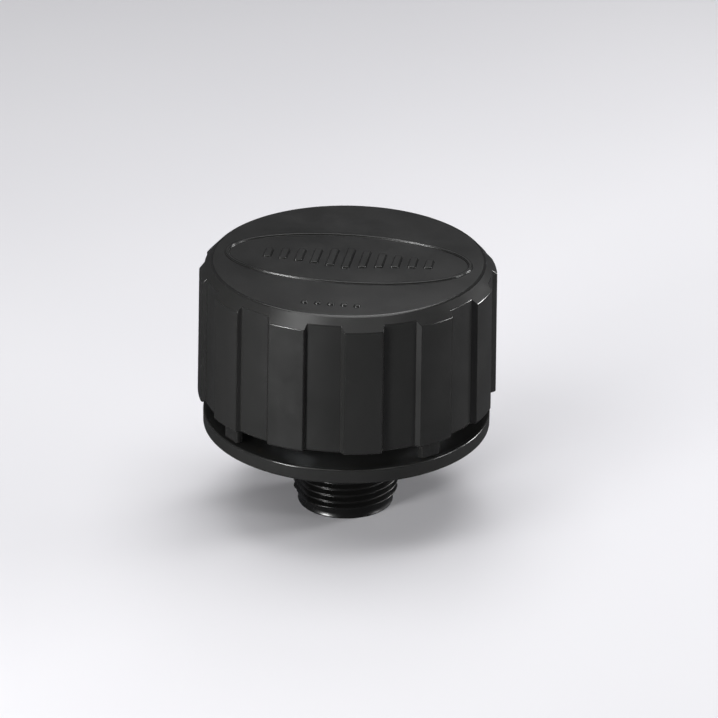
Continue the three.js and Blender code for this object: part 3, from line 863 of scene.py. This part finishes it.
def cap_shell():
    """The moulding's shell, its feet and the stiffeners between the boss and the clamping ring."""
    shell = Shell()
    angles, pads = pad_columns()
    outlines = np.stack([cap_outline(pad) for pad in pads])
    rings = [shell.ring(angles, *outlines[:, k].T) for k in range(outlines.shape[1])]
    shell.bands(rings)
    shell.plate(rings[0], up=False)
    emblem(shell, rings[-1])
    foot = box_outline((FOOT_OUTER - FOOT_INNER) / 2, FOOT_WIDTH / 2, FOOT_ROUNDING)
    foot = shifted(foot, (FOOT_OUTER + FOOT_INNER) / 2, 0)
    for i in range(FEET):
        turn = math.radians(FOOT_PHASE) + i * FULL_TURN / FEET
        shell.block(swung(foot, turn), low("cap_shell"), SKIRT_FOOT + ROOTED, 0.3)
    reach = (CLAMP_INNER + 1 - BOSS_RADIUS) / 2
    stiffener = shifted(box_outline(reach, STIFFENER_WIDTH / 2, 0.3), BOSS_RADIUS - 0.5 + reach, 0)
    for i in range(STIFFENERS):
        turn = i * FULL_TURN / STIFFENERS
        shell.block(swung(stiffener, turn), CEILING - STIFFENER_DROP, CEILING + ROOTED, 0.2)
    polish_edges(shell.piece("cap_moulding", NYLON, "cap", "cap_shell"))


# ---------------- base


def ridge_height(away, root, crest, rounding):
    """Share of a ridge's full height at a distance from its middle, with its corners softened."""
    near = np.abs(away[..., None] + np.linspace(-rounding, rounding, 9))
    return np.clip((root - near) / (root - crest), 0, 1).mean(-1)


def spigot_radius(height, away, middle, angles):
    """Radius of the tapered thread, cut back to the two parting flats."""
    core = THREAD_RADIUS - THREAD_DEPTH + height * THREAD_TAPER
    shape = ridge_height(away, THREAD_ROOT * THREAD_PITCH, THREAD_CREST * THREAD_PITCH, THREAD_SOFTENING)
    start = THREAD_START + THREAD_PITCH / 2
    end = SPIGOT_LENGTH - THREAD_RUNOUT
    fade_in = smooth((middle - start) / THREAD_FADE + THREAD_FADED)
    fade_out = smooth((end - middle) / THREAD_FADE + THREAD_FADED)
    radius = np.minimum(core + THREAD_DEPTH * shape * (fade_in * fade_out), PIPE_RADIUS)
    flat = FLAT_DISTANCE / np.maximum(np.abs(np.cos(angles - math.radians(FLAT_ANGLE))), 0.1)
    return np.where(height < FLAT_TOP, np.minimum(radius, flat), radius)


def pockets(shell):
    """Moulding pockets between the ribs under the flange. Gives their rims."""
    pitch = FULL_TURN / POCKETS
    halves = [pitch / 2 - math.asin(POCKET_RIB / 2 / r) for r in (POCKET_INNER, POCKET_OUTER)]
    plan = sector_outline(POCKET_INNER, POCKET_OUTER, *halves, POCKET_CORNER, 8)
    floor = SPIGOT_LENGTH + POCKET_DEPTH
    wall = rounded(
        [
            (-0.7, floor, 0),
            (-POCKET_DRAFT, floor, 0.3),
            (0, SPIGOT_LENGTH, 0.2),
            (0.4, SPIGOT_LENGTH, 0),
        ]
    )
    rims = []
    for i in range(POCKETS):
        rings = shell.rise(swung(plan, (i + 0.5) * pitch), wall)
        shell.plate(rings[0], up=False)
        rims.append(rings[-1])
    return rims


def base_body():
    """Spigot, neck and flange in one shell, with the cage's seat on top."""
    shell = Shell()
    angles = even(FINE)
    seat = low("post_cage")
    land = high("base_body")
    core = THREAD_RADIUS - THREAD_DEPTH
    thread_end = SPIGOT_LENGTH - THREAD_RUNOUT + THREAD_NECK
    neck = core + thread_end * THREAD_TAPER
    tip = shell.wall(
        angles,
        (CAGE_SEAT_RADIUS - 1, seat, 0),
        (PORT_RADIUS, seat, 0.3),
        (PORT_RADIUS, 0, 0.5),
        (SPIGOT_END_RADIUS, 0, 0.25),
        (core + THREAD_START * THREAD_TAPER, THREAD_START, 0),
    )
    shell.helix(
        FINE,
        THREAD_START,
        thread_end,
        THREAD_PITCH,
        1,
        THREAD_START + THREAD_PITCH / 2,
        0,
        THREAD_ROWS,
        spigot_radius,
    )
    root = shell.wall(
        angles,
        (neck, thread_end, 0),
        (neck, SPIGOT_LENGTH, 0.7),
        (neck + NECK_SHELF, SPIGOT_LENGTH, 0),
    )
    flange = shell.wall(
        angles,
        (FLANGE_RADIUS - 1, SPIGOT_LENGTH, 0),
        (FLANGE_RADIUS, SPIGOT_LENGTH, 0.4),
        (FLANGE_RADIUS, FLANGE_TOP, 0.35),
        (LAND_RADIUS, FLANGE_TOP, 0.3),
        (LAND_RADIUS - 0.3, land, 0.2),
        (CAGE_SEAT_RADIUS, land, 0.3),
        (CAGE_SEAT_RADIUS, seat, 0.2),
        (CAGE_SEAT_RADIUS - 1, seat, 0),
    )
    shell.plate(flange[0], [root[-1], *pockets(shell)], up=False)
    shell.band(flange[-1], tip[0])
    made = shell.piece("base_moulding", NYLON, "base", "base_body")
    polish_edges(made)
    gloss_and_shade_the_spigot(made)


def gloss_and_shade_the_spigot(made):
    """The cut and polished thread cavity leaves the spigot glossier than the grained faces, and its much
    darker base colour is painted shade under the flange.
    """
    # painted shade: the spigot's faces take the darker copy of the nylon
    made.data.materials.append(SHADED_GLOSS_NYLON)
    for face in made.data.polygons:
        x, y, z = face.center
        if z < (SPIGOT_LENGTH - 0.05) * MM and math.hypot(x, y) > (PORT_RADIUS + 0.5) * MM:
            face.material_index = len(made.data.materials) - 1


def post_cage():
    """A foot ring and a thick disc joined by upright ribs."""
    shell = Shell()
    foot = low("post_cage")
    land = high("base_body")
    roof = high("post_cage")
    underside = high("post_washer")
    shell.turned(COARSE, section(CAGE_INNER, CAGE_FOOT, foot, land, 0.3))
    shell.turned(COARSE, section(HOLE_RADIUS, CAGE_OUTER, underside, roof, 0.3))
    half = math.radians(CAGE_RIB_ANGLE / 2)
    plan = sector_outline(CAGE_INNER, CAGE_OUTER, half, half, 0.4, 4)
    for i in range(CAGE_RIBS):
        shell.block(swung(plan, i * FULL_TURN / CAGE_RIBS), land - ROOTED, underside + ROOTED, 0.1)
    polish_edges(shell.piece("cage_moulding", NYLON, "base", "post_cage"))


# ---------------- quick thread and its screw


def ridge_phase(height):
    return height / QUICK_LEAD * FULL_TURN


def quick_radius(core, crest, first, last):
    """Radius of the post's or the bush's wall, with ridges that fade in and out at their ends."""

    def radius_at(height, away, middle, angles):
        shape = ridge_height(away, QUICK_ROOT, QUICK_CREST, QUICK_SOFTENING)
        fade_in = smooth((middle - first) / QUICK_FADE + QUICK_FADED)
        fade_out = smooth((last - middle) / QUICK_FADE + QUICK_FADED)
        return core + (crest - core) * shape * (fade_in * fade_out)

    return radius_at


def thread_post():
    """A collared post with the quick thread outside, a dished top and the screw's blind hole."""
    shell = Shell()
    angles = even(COARSE)
    bottom = low("thread_post")
    top = high("thread_post")
    collar = bottom + POST_COLLAR
    dish = top - POST_DISH_DEPTH
    hole_end = high("post_screw") + POST_HOLE_END
    first = collar + QUICK_MARGIN
    lower = shell.wall(
        angles,
        (HOLE_RADIUS - 1, hole_end, 0),
        (HOLE_RADIUS, hole_end, 0.2),
        (HOLE_RADIUS, bottom, 0.3),
        (POST_CREST, bottom, 0.2),
        (POST_CREST, collar, 0.2),
        (POST_CORE, collar, 0),
    )
    shell.plate(lower[0], up=False)
    wall = quick_radius(POST_CORE, POST_CREST, first, top - QUICK_MARGIN)
    shell.helix(
        COARSE, collar, dish, QUICK_LEAD, QUICK_STARTS, first, ridge_phase(first), QUICK_ROWS, wall
    )
    upper = shell.wall(
        angles,
        (POST_CORE, dish, 0),
        (POST_CORE, top - POST_CHAMFER, 0),
        (POST_CORE - POST_CHAMFER, top, 0.15),
        (POST_CORE - POST_LIP, top, 0.2),
        (POST_CORE - POST_DISH, dish, 0.3),
        (POST_CORE - POST_DISH - 1, dish, 0),
    )
    shell.plate(upper[-1])
    shell.piece("post_moulding", ACETAL, "base", "thread_post")


def thread_bush():
    """The bush is keyed to its boss by shallow grooves."""
    shell = Shell()
    angles = even(COARSE)
    bottom = low("thread_bush")
    top = high("thread_bush")
    first = bottom + QUICK_MARGIN
    phase = ridge_phase(first) + FULL_TURN / QUICK_STARTS / 2
    keyed = BUSH_OUTER - KEY_DEPTH * smooth(np.cos(angles * BUSH_KEYS) * 2 - 0.6)
    outline = rounded(
        [
            (BUSH_INNER, bottom + BUSH_BAND, 0),
            (BUSH_INNER, bottom + BUSH_CHAMFER, 0),
            (BUSH_INNER + BUSH_CHAMFER, bottom, 0.1),
            (BUSH_OUTER - BUSH_CHAMFER, bottom, 0.1),
            (BUSH_OUTER, bottom + BUSH_BAND, 0.1),
            (BUSH_OUTER, top - BUSH_BAND, 0.1),
            (BUSH_OUTER - BUSH_CHAMFER, top, 0.1),
            (BUSH_INNER, top, 0.2),
            (BUSH_INNER, top - BUSH_BAND, 0),
        ]
    )
    shell.bands([shell.ring(angles, np.minimum(r, keyed), z) for r, z in outline])
    wall = quick_radius(BUSH_INNER, BUSH_CREST, first, top - QUICK_MARGIN)
    shell.helix(
        COARSE,
        bottom + BUSH_BAND,
        top - BUSH_BAND,
        QUICK_LEAD,
        QUICK_STARTS,
        first,
        phase,
        QUICK_ROWS,
        wall,
        inside=True,
    )
    shell.piece("bush_moulding", ACETAL, "cap", "thread_bush")


def screw_radius(height, away, middle, angles):
    shape = ridge_height(away, SCREW_PITCH * SCREW_ROOT, SCREW_PITCH * SCREW_CREST, SCREW_SOFTENING)
    fade_in = smooth((middle - low("post_cage") - SCREW_THREAD_START) / SCREW_FADE_IN)
    fade_out = smooth((high("post_screw") - SCREW_THREAD_END - middle) / SCREW_FADE_OUT)
    return SCREW_RADIUS - SCREW_THREAD_DEPTH * (1 - shape * (fade_in * fade_out))


def post_screw():
    """Pan head with a hexagon socket, and a threaded shank."""
    shell = Shell()
    angles = even(COARSE)
    bottom = low("post_screw")
    seat = low("post_washer")
    top = high("post_screw")
    core = SCREW_RADIUS - SCREW_THREAD_DEPTH
    hexagon = [(SCREW_SOCKET * math.cos(a), SCREW_SOCKET * math.sin(a), 0.15) for a in even(6)]
    socket = plan_outline(hexagon, 2)
    deep = bottom + SCREW_SOCKET_DEPTH
    wall = rounded([(-0.6, deep, 0), (0, deep, 0.1), (0, bottom, 0.08), (0.25, bottom, 0)])
    recess = shell.rise(socket, wall)
    shell.plate(recess[0], up=False)
    head = shell.wall(
        angles,
        (SCREW_HEAD - SCREW_HEAD_FLAT - 0.5, bottom, 0),
        (SCREW_HEAD - SCREW_HEAD_FLAT, bottom, 0),
        (SCREW_HEAD - 0.25, bottom + SCREW_HEAD_CROWN, 0.5),
        (SCREW_HEAD, bottom + SCREW_HEAD_SIDE, 0.5),
        (SCREW_HEAD, seat, 0.12),
        (core, seat, 0.1),
        (core, seat + SCREW_PLAIN, 0),
    )
    shell.plate(head[0], [recess[-1]], up=False)
    shell.helix(
        COARSE,
        seat + SCREW_PLAIN,
        top - SCREW_PLAIN,
        SCREW_PITCH,
        1,
        seat + 1,
        0,
        SCREW_ROWS,
        screw_radius,
    )
    tip = shell.wall(angles, (core, top - SCREW_PLAIN, 0), (core - 0.4, top, 0.1), (core - 0.9, top, 0))
    shell.plate(tip[-1])
    shell.piece("post_socket_screw", STEEL, "base", "post_screw")


# ---------------- rings of the element and the cap


def ring_piece(name, corners, finish, body, node, columns=FINE):
    shell = Shell()
    shell.turned(columns, corners)
    shell.piece(name, finish, body, node)


def seal(name, node):
    """Flat ring with two grooves in each face, so that it seals on narrow lands."""
    bottom = low(node)
    top = high(node)
    faces = []
    for side, z, depth in ((1, bottom, SEAL_GROOVE_DEPTH), (-1, top, -SEAL_GROOVE_DEPTH)):
        grooves = []
        for centre in (SEAL_INNER + SEAL_GROOVE_INSET, SEAL_OUTER - SEAL_GROOVE_INSET):
            grooves += [
                (centre - SEAL_GROOVE_MOUTH, z, 0.1),
                (centre - SEAL_GROOVE_FLOOR, z + depth, 0.15),
                (centre + SEAL_GROOVE_FLOOR, z + depth, 0.15),
                (centre + SEAL_GROOVE_MOUTH, z, 0.1),
            ]
        faces.append(grooves[::side])
    corners = [(SEAL_INNER, bottom, 0.35), *faces[0], (SEAL_OUTER, bottom, 0.35)]
    corners += [(SEAL_OUTER, top, 0.35), *faces[1], (SEAL_INNER, top, 0.35)]
    ring_piece(name, corners, RUBBER, "base", node, COARSE)


def end_cap(name, node, upper):
    """Pressed sheet with a rolled outer corner."""
    face = high(node) if upper else low(node)
    rim = low(node) if upper else high(node)
    into = -1 if upper else 1
    corners = [
        (END_CAP_INNER, face, 0.2),
        (END_CAP_OUTER, face, END_CAP_CORNER),
        (END_CAP_OUTER, rim, 0.25),
        (END_CAP_OUTER - END_CAP_SHEET, rim, 0.25),
        (END_CAP_OUTER - END_CAP_SHEET, face + into * END_CAP_SHEET, 0.3),
        (END_CAP_INNER, face + into * END_CAP_SHEET, 0.2),
    ]
    ring_piece(name, corners[::into], SHEET, "base", node)


def potting(name, node):
    inner = END_CAP_INNER + POTTING_GAP
    outer = END_CAP_OUTER - END_CAP_SHEET - POTTING_GAP
    corners = section(inner, outer, low(node), high(node), 0.35)
    ring_piece(name, corners, POTTING, "base", node)


def windowed_tube(name, inner, outer, node):
    """Punched sheet tube: a grid of cells, of which the windows are left out."""
    shell = Shell()
    bottom = low(node)
    top = high(node)
    row = (top - bottom - TUBE_BAR) / TUBE_ROWS
    levels = [bottom]
    for i in range(TUBE_ROWS):
        levels += [bottom + i * row + TUBE_BAR, bottom + (i + 1) * row]
    levels.append(top)
    pitch = FULL_TURN / TUBE_COLUMNS
    bar = TUBE_BAR / inner
    across_window = np.linspace(bar, pitch, WINDOW_STEPS + 1)[1:-1]
    stops = np.concatenate([np.linspace(0, bar, BAR_STEPS + 1), across_window])
    angles = np.concatenate([stops + i * pitch - bar / 2 for i in range(TUBE_COLUMNS)])
    solid_column = np.tile(np.arange(len(stops)) < BAR_STEPS, TUBE_COLUMNS)
    outside = [shell.ring(angles, outer, z) for z in levels]
    inside = [shell.ring(angles, inner, z) for z in levels]
    count = len(angles)

    def filled(i, j):
        return 0 <= i < len(levels) - 1 and (i % 2 == 0 or bool(solid_column[j % count]))

    for i in range(len(levels) - 1):
        for j in range(count):
            if not filled(i, j):
                continue
            k = (j + 1) % count
            a, b, c, d = outside[i][j], outside[i][k], outside[i + 1][k], outside[i + 1][j]
            e, f, g, h = inside[i][j], inside[i][k], inside[i + 1][k], inside[i + 1][j]
            shell.faces += [(a, b, c, d), (f, e, h, g)]
            if not filled(i - 1, j):
                shell.faces.append((b, a, e, f))
            if not filled(i + 1, j):
                shell.faces.append((d, c, g, h))
            if not filled(i, j - 1):
                shell.faces.append((a, d, h, e))
            if not filled(i, j + 1):
                shell.faces.append((c, b, f, g))
    made = shell.piece(name, SHEET, "base", node)
    edges = made.modifiers.new("punched_edges", "BEVEL")
    edges.width = PUNCHED_EDGE * MM
    edges.segments = 2
    edges.angle_limit = math.radians(40)


def pleated_media():
    """Folded paper as one closed band, with slight ripples along each fold."""
    shell = Shell()
    corners = []
    pitch = FULL_TURN / PLEATS
    for i in range(PLEATS):
        tip = (CLIPPED_TIP if i == 0 else MEDIA_OUTER) - PAPER / 2
        valley = MEDIA_INNER + PAPER / 2
        for radius, middle in ((tip, i * pitch), (valley, (i + 0.5) * pitch)):
            for side in (-1, 1):
                angle = middle + side * FOLD_FLAT / radius
                corners.append((radius * math.cos(angle), radius * math.sin(angle), FOLD_ROUNDING))
    band = plan_outline(corners, 3)
    bottom = low("pleated_media")
    top = high("pleated_media")
    heights = np.linspace(bottom, top, PAPER_ROWS)
    ripple = PAPER_RIPPLE * np.sin((heights - bottom) * RIPPLE_RATE)
    profile = [(PAPER / 2 + r, z) for r, z in zip(ripple, heights)]
    profile += [(-PAPER / 2 + r, z) for r, z in zip(ripple[::-1], heights[::-1])]
    rings = shell.rise(band, profile)
    shell.band(rings[-1], rings[0])
    shell.piece("paper_pleats", PAPER_FINISH, "base", "pleated_media")


def seam_clip():
    """Channel over the fold where the paper's ends meet, its legs leaning as the fold's walls do."""
    shell = Shell()
    lo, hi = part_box("seam_clip")
    heel = lo.x / MM
    web = hi.x / MM
    foot = hi.y / MM
    shoulder = PAPER * CLIPPED_FOLD + CLIP_SLACK + CLIP_SHEET
    corners = [
        (heel, -foot, 0.1),
        (web, -shoulder, 0.4),
        (web, shoulder, 0.4),
        (heel, foot, 0.1),
        (heel, foot - CLIP_SHEET, 0.1),
        (web - CLIP_SHEET, shoulder - CLIP_SHEET, 0.15),
        (web - CLIP_SHEET, CLIP_SHEET - shoulder, 0.15),
        (heel, CLIP_SHEET - foot, 0.1),
    ]
    shell.block(plan_outline(corners), lo.z / MM, hi.z / MM, 0.1)
    shell.piece("seam_channel", SHEET, "base", "seam_clip")


def liner_retainer():
    """An open ring of wire, with its gap at -Y."""
    shell = Shell()
    half = math.radians(RETAINER_GAP_ANGLE / 2)
    corners = section(RETAINER_INNER, RETAINER_OUTER, low("liner_retainer"), high("liner_retainer"), 0.3)
    first = FULL_TURN / 4 + half
    last = FULL_TURN * 5 / 4 - half
    shell.sweep(np.linspace(first, last, FINE), closed(corners))
    shell.piece("snap_ring", STEEL, "cap", "liner_retainer")


def foam(name, inner, outer, node):
    """A cut strip of foam, bent round until its ends meet, with a soft uneven surface."""
    shell = Shell()
    margin = FOAM_ROUGHNESS
    bottom = low(node) + margin
    top = high(node) - margin
    corners = closed(section(inner + margin, outer - margin, bottom, top, FOAM_ROUNDING))
    outline = [corners[-1]]
    for point in corners:
        step = point - outline[-1]
        parts = max(1, round(np.linalg.norm(step) / FOAM_STEP))
        outline += [outline[-1] + step * k / parts for k in range(1, parts + 1)]
    half = FOAM_CUT / inner
    angles = np.linspace(half, FULL_TURN - half, FOAM_COLUMNS) - FULL_TURN / 4
    shell.sweep(angles, np.array(outline[1:]))
    moved = []
    for point in shell.points:
        here = Vector(point)
        moved.append(here + noise.noise_vector(here * FOAM_WANDER) * FOAM_ROUGHNESS)
    shell.points = [tuple(point) for point in moved]
    made = shell.piece(name, FOAM, "cap", node)


# ---------------- studio


def floor():
    """A pale floor that glossy surfaces don't reflect, so that the upright walls stay dark."""
    mesh = bpy.data.meshes.new("studio_floor")
    half = FLOOR_HALF
    corners = [(-half, -half, 0), (half, -half, 0), (half, half, 0), (-half, half, 0)]
    mesh.from_pydata(corners, [], [(0, 1, 2, 3)])
    mesh.materials.append(studio_floor())
    made = bpy.data.objects.new("studio_floor", mesh)
    bpy.context.scene.collection.objects.link(made)
    made.visible_glossy = False


def soft_box(name, azimuth, elevation, distance, size, power):
    """A square lamp aimed at the object, in metres and watts, at degrees to the right of the camera."""
    turn = math.radians(CAMERA_AZIMUTH - 90 + azimuth)
    rise = math.radians(elevation)
    out = Vector((math.cos(turn) * math.cos(rise), math.sin(turn) * math.cos(rise), math.sin(rise)))
    data = bpy.data.lights.new(name, "AREA")
    data.size = size
    data.energy = power
    made = bpy.data.objects.new(name, data)
    made.location = out * distance + Vector((0, 0, LAMP_AIM))
    made.rotation_euler = (-out).to_track_quat("-Z", "Y").to_euler()
    bpy.context.scene.collection.objects.link(made)


def studio():
    """One large lamp overhead, low ones that model the pads, and a close one behind that shades the top."""
    world = bpy.data.worlds.new("studio_world")
    world.use_nodes = True
    world.node_tree.nodes["Background"].inputs["Color"].default_value = (0.9, 0.9, 1, 1)
    world.node_tree.nodes["Background"].inputs["Strength"].default_value = 0.05
    bpy.context.scene.world = world
    bpy.context.scene.view_settings.view_transform = "Standard"
    soft_box("overhead", 180, 86, 1.27, 1.2, 11.1)
    soft_box("left_key", -48, 52, 0.6, 0.2, 0.55)
    soft_box("left_fill", -45, 8, 0.6, 0.16, 3.5)
    soft_box("right_fill", 112, 8, 0.6, 0.16, 2.5)
    soft_box("right_front_fill", 78, 8, 0.6, 0.16, 1.2)
    soft_box("near_lamp", 172, 54, 0.3, 0.1, 0.12)


# ---------------- the muffler


cap_shell()
base_body()
post_cage()
thread_post()
thread_bush()
post_screw()
ring_piece(
    "plain_washer",
    section(HOLE_RADIUS, WASHER_RADIUS, low("post_washer"), high("post_washer"), 0.15),
    STEEL,
    "base",
    "post_washer",
    COARSE,
)
seal("lower_seal", "lower_seal_ring")
seal("upper_seal", "upper_seal_ring")
end_cap("lower_pressed_cap", "lower_end_cap", False)
end_cap("upper_pressed_cap", "upper_end_cap", True)
potting("lower_cast_ring", "lower_potting")
potting("upper_cast_ring", "upper_potting")
windowed_tube("punched_core", CORE_INNER, CORE_OUTER, "element_core")
windowed_tube("punched_guard", GUARD_INNER, GUARD_OUTER, "outer_guard")
pleated_media()
seam_clip()
ring_piece(
    "loose_slip_ring",
    section(SLIP_INNER, SLIP_OUTER, low("slip_ring"), high("slip_ring"), 0.25),
    ACETAL,
    "slip_ring",
    "slip_ring",
)
liner_retainer()
foam("liner_foam", LINER_INNER, LINER_OUTER, "acoustic_liner")
foam("top_foam", TOP_PAD_INNER, TOP_PAD_OUTER, "acoustic_top_pad")
floor()
studio()
